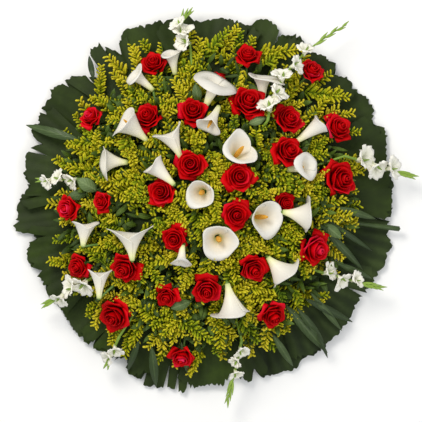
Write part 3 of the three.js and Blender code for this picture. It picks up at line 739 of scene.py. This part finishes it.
# ----------------------------------------
# Goldenrod: arching plumes of twigs lumpy with yellow-green buds, pushed in
# between the flowers and out over the collar. The twigs leave the stem left,
# right and above, curl up, and are yellower towards the tips.
# ----------------------------------------
PLUME_REACH = [
    (2, 395), (11, 398), (20, 405), (33, 432), (38, 448), (50, 440), (58, 450), (70, 441), (84, 441),
    (101, 436), (110, 446), (116, 452), (126, 425), (133, 408), (146, 392), (158, 400), (172, 380),
    (187, 384), (201, 408), (212, 395), (221, 404), (236, 436), (246, 415), (259, 428), (272, 420),
    (281, 385), (295, 404), (304, 380), (313, 392), (324, 384), (335, 360), (346, 372), (354, 400),
]  # direction and reach of the goldenrod over the collar, round the wreath
OUTER_PLUMES, SECOND_PLUMES, INNER_PLUMES = 88, 78, 214
PLUMES = OUTER_PLUMES + SECOND_PLUMES + INNER_PLUMES
BRANCHES = 35
BRANCH_ROLL = [80, -78, 14, 74, -84, -22]  # degrees round the stem from straight above
BRANCH_WAY = np.array([0.05, 0.3, 0.55, 0.8, 1.0])
BRANCH_GIRTH = np.array([1.5, 3.4, 2.9, 3.3, 1.3])  # swells where the buds sit thickest
COLLAR_SAG = 6.0  # how far a palm leaf may bulge over its even slope
PLUME_PIECES = 8


def plume_layout():
    """Where each plume's tip stands and which way it leans. Two rings stand round the rim, at shares
    of the listed reach, and the rest on a sunflower spiral inside them."""
    reach_at = np.array(PLUME_REACH, float)
    rings = [(OUTER_PLUMES, 0.92, 1.03), (SECOND_PLUMES, 0.78, 0.92)]
    angle = [360 * (np.arange(n) + chance.uniform(-0.2, 1.2, n)) / n for n, _, _ in rings]
    share = [chance.uniform(low, high, n) for n, low, high in rings]
    order = np.arange(INNER_PLUMES) + 0.5
    angle.append(np.degrees(order * SPIRAL_TURN + chance.normal(0, 0.09, INNER_PLUMES)) % 360)
    share.append(0.80 * np.sqrt(order / INNER_PLUMES))
    angle, share = np.concatenate(angle), np.concatenate(share)
    reach = share * np.interp(angle, reach_at[:, 0], reach_at[:, 1], period=360)
    x, y = reach * np.cos(np.radians(angle)), reach * np.sin(np.radians(angle))
    outer = np.clip((share - 0.45) / 0.45, 0, 1)
    heading = angle + chance.normal(0, 1, PLUMES) * (62 - 40 * outer)
    lean = 46 + 24 * outer + chance.normal(0, 8, PLUMES)
    height = head_height(x, y) - 10 + chance.normal(0, 5, PLUMES) - 12 * np.clip((share - 0.9) / 0.1, 0, 1)
    return np.column_stack([x, y, height]), heading, lean


def over_collar(points):
    """Height that clears the upper row of palm leaves, which slopes evenly from its root to its tip."""
    radius = np.hypot(points[..., 0], points[..., 1])
    return np.interp(radius, [LEAF_ROOT, LEAF_ROOT + 300], UPPER_ROW) + COLLAR_SAG


def goldenrod():
    """Stems and branches of every plume as whole arrays (plume, branch, step). The stem is a line that
    nods by the square of the way along. Branches leave it left, right and above in turn, lean
    forwards, curl up by the square of the way, and shorten towards the tip; their girth is lumpy."""
    tips, heading, lean = plume_layout()
    count = len(tips)
    length = chance.uniform(84, 120, count)
    way = facing(heading, np.clip(lean, 18, 82))
    flat = facing(heading, np.full(count, 90.0))
    nod = unit(flat * 0.75 + np.array([0, 0, -1.0])) * (length * 0.20)[:, None]
    root = tips - way * length[:, None] - nod

    def on_stem(share):
        straight = way[:, None] * (length[:, None] * share)[..., None]
        return root[:, None] + straight + nod[:, None] * (share**2)[..., None]

    share = np.linspace(0.10, 0.99, BRANCHES) + chance.normal(0, 0.008, (count, BRANCHES))
    share = np.clip(share, 0.05, 1.0)
    tangent = unit(way[:, None] * length[:, None, None] + 2 * nod[:, None] * share[..., None])
    aside = unit(np.cross(tangent, np.array([0.0, 0.0, 1.0])))
    above = np.cross(aside, tangent)
    roll = np.radians(np.resize(BRANCH_ROLL, BRANCHES) + chance.normal(0, 16, (count, BRANCHES)))
    off = aside * np.sin(roll)[..., None] + above * np.cos(roll)[..., None]
    size = (length[:, None] / 100) * (12 + 17 * (1 - share) ** 0.8)
    size = size * chance.uniform(0.75, 1.25, (count, BRANCHES))
    lean_on = chance.uniform(0.6, 1.2, (count, BRANCHES, 1))
    reach = size[..., None] * BRANCH_WAY
    branch = (
        on_stem(share)[:, :, None]
        + unit(off + tangent * lean_on)[:, :, None] * reach[..., None]
        + (above * 0.28 - tangent * 0.08)[:, :, None] * (reach * BRANCH_WAY)[..., None]
    )
    girth = BRANCH_GIRTH * (0.6 + 0.4 * size[..., None] / 24)
    girth = girth * chance.uniform(0.82, 1.12, (count, BRANCHES, 1))
    tone = 0.08 + 0.46 * BRANCH_WAY + 0.26 * share[..., None] + chance.normal(0, 0.06, (count, BRANCHES, 1))
    tone = np.clip(tone + chance.normal(0, 0.19, (count, 1, 1)), 0, 1)
    along = np.tile(np.linspace(0, 1, 6), (count, 1))
    stem = on_stem(along)
    stem[..., 2] = np.maximum(stem[..., 2], over_collar(stem))
    sector = (np.degrees(np.arctan2(tips[:, 1], tips[:, 0])) % 360 // (360 / PLUME_PIECES)).astype(int)
    steps = len(BRANCH_WAY)
    for number in range(PLUME_PIECES):
        mine = sector == number
        paths = branch[mine].reshape(-1, steps, 3)
        spots = paths.reshape(-1, 3)
        shut_in = crowded(spots, 2.0) | (spots[:, 2] < over_collar(spots))
        free = ~shut_in.reshape(-1, steps).any(axis=1)
        shade = shade_of(int(free.sum()), steps, red=tone[mine].reshape(-1, steps)[free])
        twigs = tubes(paths[free], girth[mine].reshape(-1, steps)[free], 4, shade)
        paths = stem[mine]
        paths = paths[~crowded(paths[:, 2:].reshape(-1, 3), -2.0).reshape(-1, 4).any(axis=1)]
        stems = tubes(paths, [1.7, 1.6, 1.4, 1.2, 0.9, 0.5], 4, 0.08)
        name = f"goldenrod_plumes_{number + 1}"
        make_piece(name, [twigs, stems], [goldenrod_bud], ["goldenrod_bed"])


goldenrod_bud, tree, shader, mottle, grain = mottled_finish("goldenrod_bud", 14.0, 1.1, 520.0)
tone, _, _ = shade_channels(tree)
mixed = maths(tree, "MULTIPLY_ADD", mottle, 0.30, tone)
mixed = maths(tree, "MULTIPLY_ADD", grain, 0.5, mixed)
mixed = maths(tree, "SUBTRACT", mixed, 0.40, clamp=True)
dress(tree, shader, mixed, [(0.0, "5c7a16"), (0.3, "98a816"), (0.6, "c4be1a"), (1.0, "dfcf34")],
      rough=0.7, shine=0.2, bump=(grain, 0.9, 0.002))
goldenrod()


# ----------------------------------------
# Roses: full-blown red roses, each of seventeen soft petals wound round a
# tight heart. The stems are cut short and wired to a peg in the pad.
# ----------------------------------------
ROSE_PICKS = [
    ([0],), ([1], -96, 198), ([2, 3],), ([6], 28, 203), ([4, 5, 7], 100, 172), ([8, 9, 10], 185, 88),
    ([17, 18],), ([11, 12],), ([13, 14, 22],), ([15, 16],), ([27],), ([19, 20], -168, -98), ([21],),
    ([23, 24],), ([25, 28],), ([26],),
]
PETALS = 17
ROSE_SWELL = 1.12  # how far the loose outer petals stand past the measured head
HIGHLIT_ROSES = (0, 11, 26, 27)  # roses whose inner petals get a painted pink highlight
GOLDEN_TURN = math.radians(137.508)
PEG_REACH, PEG_DEPTH, KNOT_ABOVE_PAD = 205.0, 22.0, 9.0


def turned_to(points, axis, place, spin=0.0):
    """Turns points from +Z to an axis by the shortest way, after a spin about Z, and sets them down."""
    spin_cos, spin_sin = math.cos(spin), math.sin(spin)
    x = points[..., 0] * spin_cos - points[..., 1] * spin_sin
    y = points[..., 0] * spin_sin + points[..., 1] * spin_cos
    flat = np.stack([x, y, points[..., 2]], -1)
    pivot = np.cross([0.0, 0.0, 1.0], axis)
    cross = np.array([[0, -pivot[2], pivot[1]], [pivot[2], 0, -pivot[0]], [-pivot[1], pivot[0], 0]])
    turn = np.eye(3) + cross + cross @ cross / (1 + axis[2])
    return flat @ turn.T + place


def rose_petals(openness):
    """Petals of a rose of unit radius about +Z, (petal, row, column, 3). A petal's middle line climbs
    a cup whose width grows from the heart outwards, closing over the heart inside and rolling
    back at the lip outside; columns fan it round the axis, and its corners drop to a soft point."""
    order = np.arange(PETALS)
    ripe = np.clip((order / (PETALS - 1)) ** 1.15, 0, 1)
    ripe = ripe[:, None, None]
    up = np.linspace(0, 1, 8)[None, :, None]
    across = np.linspace(-1, 1, 9)[None, None, :]
    wobble = chance.normal(0, 1, (5, PETALS, 1, 1))
    cup = 0.10 + 0.66 * ripe**0.9 * openness
    foot = 0.07 + 0.08 * ripe
    top = 0.56 - 0.42 * ripe**1.3 + 0.05 * wobble[0]
    bulge = np.sin(np.minimum(up * 1.25, 1) * np.pi / 2) ** 0.8
    radius = foot + (cup - foot) * bulge
    radius = radius * (1 - 0.55 * np.clip(1 - ripe / 0.35, 0, 1) * up**3)
    radius = radius + (0.20 + 0.05 * wobble[4]) * ripe**1.2 * up**4
    radius = radius + 0.05 * ripe * np.abs(across) ** 2 * up**4
    radius = radius + 0.05 * across * (0.3 + ripe) * up
    height = -0.66 + (top + 0.66) * up ** (0.8 + 0.25 * ripe)
    height = height - (0.20 + 0.05 * wobble[4]) * ripe**2 * up**6
    height = height - (0.12 + 0.34 * ripe) * np.abs(across) ** 1.9 * up**2
    height = height + 0.05 * np.sin(4.0 * across + wobble[1] * 3) * up**3 * (0.3 + ripe)
    point = np.exp(-((across / 0.30) ** 2)) * up**5
    radius = radius + 0.24 * point * ripe**1.5
    belly = np.sin(np.pi * np.clip(up * 0.66 + 0.06, 0, 1)) ** 0.7
    wrap = np.radians(118 - 60 * ripe) * (0.35 + 0.65 * belly) * (1 - 0.22 * ripe * up**4)
    angle = order[:, None, None] * GOLDEN_TURN + wobble[2] * 0.16 + across * wrap
    sheet = round_points(radius, angle, height)
    shade = shade_of(*sheet.shape[:3], red=up, green=np.clip(0.5 + 0.12 * wobble[3], 0, 1), blue=ripe)
    return sheet, shade


def calyx(size):
    """Five narrow sepals about the foot of a rose of radius size, (sepal, row, column, 3)."""
    up = np.linspace(0, 1, 4)[None, :, None]
    across = np.linspace(-1, 1, 3)[None, None, :]
    angle = np.arange(5)[:, None, None] * 2 * np.pi / 5 + across * 0.34 * (1 - up) ** 0.7
    radius = 0.10 + 0.52 * up**0.9
    height = -0.70 + 0.20 * up**1.4 - 0.04
    return round_points(radius, angle, height) * size


def stalk(start, end, radius, kind, bend=0.0, sides=6, tone=0.45):
    """A stem from start to end as a bar, its middle raised by bend and the sine of the way along."""
    way = np.linspace(0, 1, 5)[:, None]
    path = np.asarray(start) + (np.asarray(end) - np.asarray(start)) * way
    path[:, 2] += bend * np.sin(np.pi * way[:, 0])
    return tubes(path, radius, sides, tone, kind)


def knot_of(heads, given):
    """Where the stems of one pick are wired together, just over the pad."""
    knot = np.mean(np.array(heads), axis=0)
    knot[2] = 0.0
    reach = np.linalg.norm(knot)
    knot = knot / reach * min(reach * 0.8, PEG_REACH)
    if len(given) == 2:
        knot = np.array([*given, 0.0], float)
    knot[2] = pad_top(np.linalg.norm(knot)) + KNOT_ABOVE_PAD
    return knot


def peg_and_wire(knot, kind):
    """A wooden peg pushed into the pad, and three turns of wire round it and the stems."""
    peg = stalk(knot - [0, 0, KNOT_ABOVE_PAD + PEG_DEPTH - 1], knot, 2.6, kind, sides=8, tone=0.5)
    turn = np.linspace(0, 6 * np.pi, 37)
    coil = [knot[0] + 3.4 * np.cos(turn), knot[1] + 3.4 * np.sin(turn), knot[2] - 5 + turn * 0.22]
    return [peg, tubes(np.stack(coil, -1), 0.45, 4, 0.5, kind + 1)]


rose_red, tree, shader, mottle, grain = mottled_finish("rose_petal_red", 45.0, 1.2, 900.0)
up, own, ripe = shade_channels(tree)
# Each petal is painted lighter towards its lip and darker at its foot, and the inner petals darker than the
# outer ones: painted shade deep in the cup and in the heart, and painted light on the lips. The pink stops
# at the top of the ramp are reached mostly through painted highlight.
mixed = maths(tree, "MULTIPLY_ADD", up, 0.22, own)
mixed = maths(tree, "MULTIPLY_ADD", mottle, 0.25, mixed)
mixed = maths(tree, "MULTIPLY_ADD", ripe, 0.12, mixed)
mixed = maths(tree, "SUBTRACT", mixed, 0.36, clamp=True)
reds_and_highlight = [(0.0, "8c0004"), (0.4, "b40005"), (0.65, "cc0208"), (0.85, "d8102c"), (1.0, "ec3462")]
dress(tree, shader, mixed, reds_and_highlight, rough=0.5, shine=0.08, bump=(grain, 0.25, 0.0004))

stem_green = leaf_finish("cut_stem_green", [(0.0, "3f5a22"), (0.5, "587a30"), (1.0, "7d9a48")], 0.5, 0.4)
peg_wood, tree, shader, mottle, grain = mottled_finish("peg_wood", 90.0, 2.0, 600.0)
dress(tree, shader, mottle, [(0.0, "8a6a40"), (1.0, "c4a26c")], rough=0.75, bump=(grain, 0.5, 0.0006))
iron_wire, tree, shader, mottle, grain = mottled_finish("iron_wire", 200.0, 1.5, 900.0)
dress(tree, shader, mottle, [(0.0, "3c3a38"), (1.0, "6a6864")], rough=0.45, bump=(grain, 0.3, 0.0002))
shader.inputs["Metallic"].default_value = 0.9

for number, (members, *given) in enumerate(ROSE_PICKS, start=1):
    parts = []
    seats = [rose_centre[m] - rose_axis[m] * 0.25 * roses[m, 2] for m in members]
    knot = knot_of(seats, given)
    for member in members:
        centre, axis, half = rose_centre[member], rose_axis[member], roses[member, 2] / 2 * ROSE_SWELL
        sheet, shade = rose_petals(0.94 + 0.10 * chance.uniform(-1, 1))
        # A painted highlight: the inner petals of these roses are pushed up the ramp towards pink.
        if member in HIGHLIT_ROSES:
            shade[..., 1] += 0.34 * (1 - shade[..., 2])
        petals = turned_to(sheet * half, axis, centre, chance.uniform(0, 6.28))
        base = centre - axis * 0.70 * half
        hip = base - axis * (np.linspace(0, 1, 6)[:, None] - 0.4) * 0.32 * half
        parts += [
            thin_sheets(petals, 0.9, shade),
            thin_sheets(turned_to(calyx(half), axis, centre), 0.8, 0.5, 1),
            tubes(hip, np.array([0.04, 0.16, 0.2, 0.17, 0.1, 0.05]) * half, 8, 0.5, 1),
            stalk(knot, base, 2.4, 1, bend=-2.0),
        ]
    parts += peg_and_wire(knot, 2)
    finishes = [rose_red, stem_green, peg_wood, iron_wire]
    make_piece(f"roses_{number:02d}", parts, finishes, [f"rose_pick_{number:02d}"])


# ----------------------------------------
# Callas: one waxy white petal rolled into a funnel round a golden spadix,
# drawn out to a tip on one side, its two edges crossing on the other.
# ----------------------------------------
CALLA_PICKS = [
    ([0, 1],), ([2, 3], -8, 200), ([4], 70, 195), ([5, 6],), ([7], 165, 125), ([8, 9],), ([10, 11],),
    ([12],), ([13],), ([14, 16],), ([15],), ([17],), ([18, 19],), ([20],), ([21],),
]
SPATHE_THICKNESS = 1.2


def spathe(width, length, notch, lip_turn, flop):
    """The petal as a grid: rows climb the funnel from a narrow foot, whose radius grows slowly and
    then with a power of the way; columns go round once and a bit more, one edge wound inside the
    other. Towards the two edges the petal stops lower on the funnel, which leaves a notch between
    two wings. The lip rolls back by an amount that follows the cosine of twice the angle, and the
    tip side is drawn out to a point."""
    round_it = np.linspace(-1, 1, 37)[None, :]
    angle = round_it * (math.pi + 0.42)
    edge = np.clip((np.abs(round_it) - 0.42) / 0.58, 0, 1)
    stops = 1 - (0.10 + 0.42 * notch) * edge**1.5
    up = np.linspace(0, 1, 15)[:, None] * stops
    rim = width / 2
    slim = 5.2 + 0.16 * width * up
    opens = 0.06 + 0.34 * lip_turn
    flare = np.clip((up - opens) / (1 - opens), 0, 1) ** (1.25 + 2.2 * lip_turn)
    radius = slim + (rim - 5.2 - 0.16 * width) * flare
    radius = radius * (1 + 0.055 * round_it * (1 - 0.3 * up))
    height = -length * (1 - up)
    facing_tip = np.maximum(0, np.cos(angle * 0.94))
    wing = np.exp(-(((np.abs(angle) - 1.85) / 0.36) ** 2))
    drawn_out = (0.22 + 0.06 * flop) * facing_tip**6 * up**4
    radius = radius * (1 + drawn_out + (0.08 + 0.14 * notch) * wing * up**4)
    height = height + rim * flare * ((0.12 - 0.27 * notch) * np.cos(2 * angle) - 0.08 * np.cos(angle))
    lip = np.clip((up - 0.80) / 0.20, 0, 1)
    roll = 0.55 + 0.45 * np.cos(2 * angle + flop) + 0.5 * lip_turn
    hung = lip_turn * (1 - notch) * np.maximum(0, np.cos(0.5 * angle)) ** 1.5
    height = height - rim * 0.65 * hung * np.clip((up - 0.55) / 0.45, 0, 1) ** 2
    radius = radius + rim * 0.10 * lip**1.5 * roll
    height = height - rim * 0.20 * lip**2 * roll - rim * 0.14 * facing_tip**6 * lip**2
    radius = radius + 0.014 * width * np.sin(5 * angle + 4 * flop) * up**6
    height = height + 0.028 * width * np.sin(3 * angle + 7 * flop) * up**6
    shade = shade_of(1, 15, 37, red=up, green=round_it * 0.5 + 0.5, blue=np.abs(round_it))
    return round_points(radius, angle, height)[None], shade


calla_white, tree, shader, mottle, grain = mottled_finish("calla_white", 22.0, 1.0, 400.0)
up, round_it, _ = shade_channels(tree)
ribs = maths(tree, "SINE", maths(tree, "MULTIPLY", round_it, 150.0))
mixed = maths(tree, "MULTIPLY_ADD", mottle, 0.10, up)
mixed = maths(tree, "MULTIPLY_ADD", ribs, 0.012, mixed)
both = maths(tree, "MULTIPLY_ADD", ribs, 0.4, grain)
dress(tree, shader, mixed, [(0.0, "8ea552"), (0.2, "d6d6a8"), (0.45, "dad6c6"), (1.0, "dcd9cf")],
      rough=0.42, shine=0.3, bump=(both, 0.25, 0.0005))
# A painted glow: an emission strongest at the foot of the funnel and fading out towards the lip, which
# brightens the shaded throat.
throat_glow = ramp(tree, up, [(0.0, "6a6a34"), (0.4, "625c48"), (0.85, "141412"), (1.0, "000000")])
tree.links.new(throat_glow, shader.inputs["Emission Color"])
shader.inputs["Emission Strength"].default_value = 1.0  # painted glow, standing in for daylight that comes through the thin petal

spadix_gold, tree, shader, mottle, grain = mottled_finish("spadix_gold", 400.0, 1.6, 1400.0)
dress(tree, shader, mottle, [(0.0, "c07a10"), (0.5, "e0a028"), (1.0, "f0c050")],
      rough=0.8, bump=(grain, 1.0, 0.0012))

for number, (members, *given) in enumerate(CALLA_PICKS, start=1):
    parts = []
    seats = [calla_mouth[m] - calla_axis[m] * 0.96 * callas[m, 3] for m in members]
    knot = knot_of(seats, given)
    for member in members:
        axis, mouth = calla_axis[member], calla_mouth[member]
        width, length, direction, lean, _, tip_turn, notch, lip_turn = callas[member, 2:]
        sheet, shade = spathe(width, length, notch, lip_turn, chance.uniform(-1, 1))
        petal = turned_to(sheet, axis, mouth, math.radians(direction + tip_turn))
        shown = 0.74 if lean < 76 and lip_turn < 0.7 else 0.42
        bulk = (1.6 - 0.009 * lean) * (0.6 + 0.4 * width / 80)
        spadix = mouth - axis * length * (0.80 - shown * np.linspace(0, 1, 9)[:, None])
        foot = [mouth - axis * length * s for s in (1.04, 1.0, 0.94)]
        parts += [
            thin_sheets(petal, SPATHE_THICKNESS, shade),
            tubes(spadix, np.array([2.6, 4.0, 4.6, 4.8, 4.7, 4.5, 4.0, 3.2, 1.6]) * bulk, 10, 0.5, 1),
            tubes(foot, [3.2, 4.6, 4.9], 10, 0.6, 2),
            stalk(knot, mouth - axis * length, 3.0, 2, bend=-2.0, sides=8),
        ]
    parts += peg_and_wire(knot, 3)
    finishes = [calla_white, spadix_gold, stem_green, peg_wood, iron_wire]
    make_piece(f"callas_{number:02d}", parts, finishes, [f"calla_pick_{number:02d}"])


# ----------------------------------------
# Gladioli: white spikes that stand out past the dome, with open six-petalled
# florets low on the stem, then green sheaths and closed buds to the tip.
# ----------------------------------------
def floret_petals():
    """Six petals of a floret of unit size about +Z, in two rings of three: a narrow foot opens into
    a wide throat and the petal ends roll back, with a wavy edge."""
    order = np.arange(6)
    inner = (order % 2)[:, None, None]
    up = np.linspace(0, 1, 7)[None, :, None]
    across = np.linspace(-1, 1, 5)[None, None, :]
    wobble = chance.normal(0, 1, (3, 6, 1, 1))
    radius = 0.06 + 0.74 * up**1.7 + 0.05 * inner + 0.06 * wobble[0] * up
    height = -0.90 + 1.02 * up**0.85 - 0.22 * up**5 + 0.06 * wobble[1] * up**2
    height = height - 0.06 * np.abs(across) ** 2 * up**3 + 0.08 * np.sin(5 * across + wobble[2] * 3) * up**3
    wrap = np.radians(54) * np.sin(np.pi * np.clip(0.2 + 0.62 * up, 0, 1)) ** 0.8 * (1 - 0.30 * up**8)
    angle = order[:, None, None] * np.pi / 3 + across * wrap
    radius = radius - 0.08 * np.abs(across) ** 2.5 * up**5
    sheet = round_points(radius, angle, height)
    return sheet, shade_of(*sheet.shape[:3], red=up, green=across * 0.5 + 0.5, blue=0.5)


gladiolus_white, tree, shader, mottle, grain = mottled_finish("gladiolus_white", 60.0, 1.0, 700.0)
up, across, _ = shade_channels(tree)
mixed = maths(tree, "MULTIPLY_ADD", mottle, 0.12, up)
dress(tree, shader, mixed, [(0.0, "b9c47c"), (0.24, "e0e0c8"), (1.0, "eeebe0")],
      rough=0.5, shine=0.35, bump=(grain, 0.3, 0.0004))
# A painted glow: every petal gives off a faint even light of its own.
shader.inputs["Emission Color"].default_value = colour("36352c")
shader.inputs["Emission Strength"].default_value = 1.0  # painted glow, standing in for daylight that comes through the thin petals
sheath_greens = [(0.0, "4f6e1c"), (0.5, "7c9a34"), (1.0, "a3bb58")]
bract_green = leaf_finish("gladiolus_sheath_green", sheath_greens, 0.5, 0.4)

for number, spike in enumerate(GLADIOLI, start=1):
    share = np.linspace(0, 1, 15)
    path = spike_point(spike, share)
    knot = knot_of([np.array(spike[0], float)], ())
    parts = [tubes(path, 4.2 - 2.6 * share, 7, 0.35, 1), stalk(knot, path[0], 3.2, 1, bend=-2.0)]
    seats = np.concatenate([spike[3], np.linspace(spike[3][-1] + 0.10, 0.97, 6)])
    for order, seat_share in enumerate(seats):
        side = 1.0 if order % 2 == 0 else -1.0
        near = spike_point(spike, [seat_share - 0.02, seat_share + 0.02])
        along = unit(near[1] - near[0])
        aside = unit(np.array([-along[1], along[0], 0.0])) * side
        seat = spike_point(spike, seat_share)
        if order < len(spike[3]):
            axis = along * 0.9 + aside * 0.55
            axis[2] += 0.75
            axis = unit(axis)
            size = (46 - 12 * seat_share) * spike[4]
            sheet, shade = floret_petals()
            placed = turned_to(sheet * size, axis, seat + axis * 0.72 * size, chance.uniform(0, 6.28))
            parts.append(thin_sheets(placed, 0.8, shade))
            stamens = unit(axis[None] + chance.normal(0, 0.10, (4, 3)))
            start = np.tile(seat + axis * 0.1 * size, (4, 1))
            rods = np.stack([start, start + stamens * size * 0.35, start + stamens * size * 0.66], 1)
            parts.append(tubes(rods, [0.5, 0.5, 0.9], 5, 0.9))
            sheath_length, sheath_way = 0.62 * size, unit(axis + along * 0.6)
        else:
            sheath_length = 42 - 22 * (seat_share - 0.5) / 0.5
            sheath_way = unit(along + aside * 0.24 + np.array([0, 0, 0.12]))
        way = np.linspace(0, 1, 6)[:, None]
        bud_path = seat + sheath_way * sheath_length * way + along * 3 * way**2
        girth = np.array([2.4, 4.4, 5.0, 4.2, 2.6, 0.8]) * (1.12 - 0.5 * seat_share)
        parts.append(tubes(bud_path, girth, 7, 0.55, 1))
    parts.append(peg_and_wire(knot, 2)[0])
    finishes = [gladiolus_white, bract_green, peg_wood]
    make_piece(f"gladiolus_{number}", parts, finishes, [f"gladiolus_spike_{number}"])
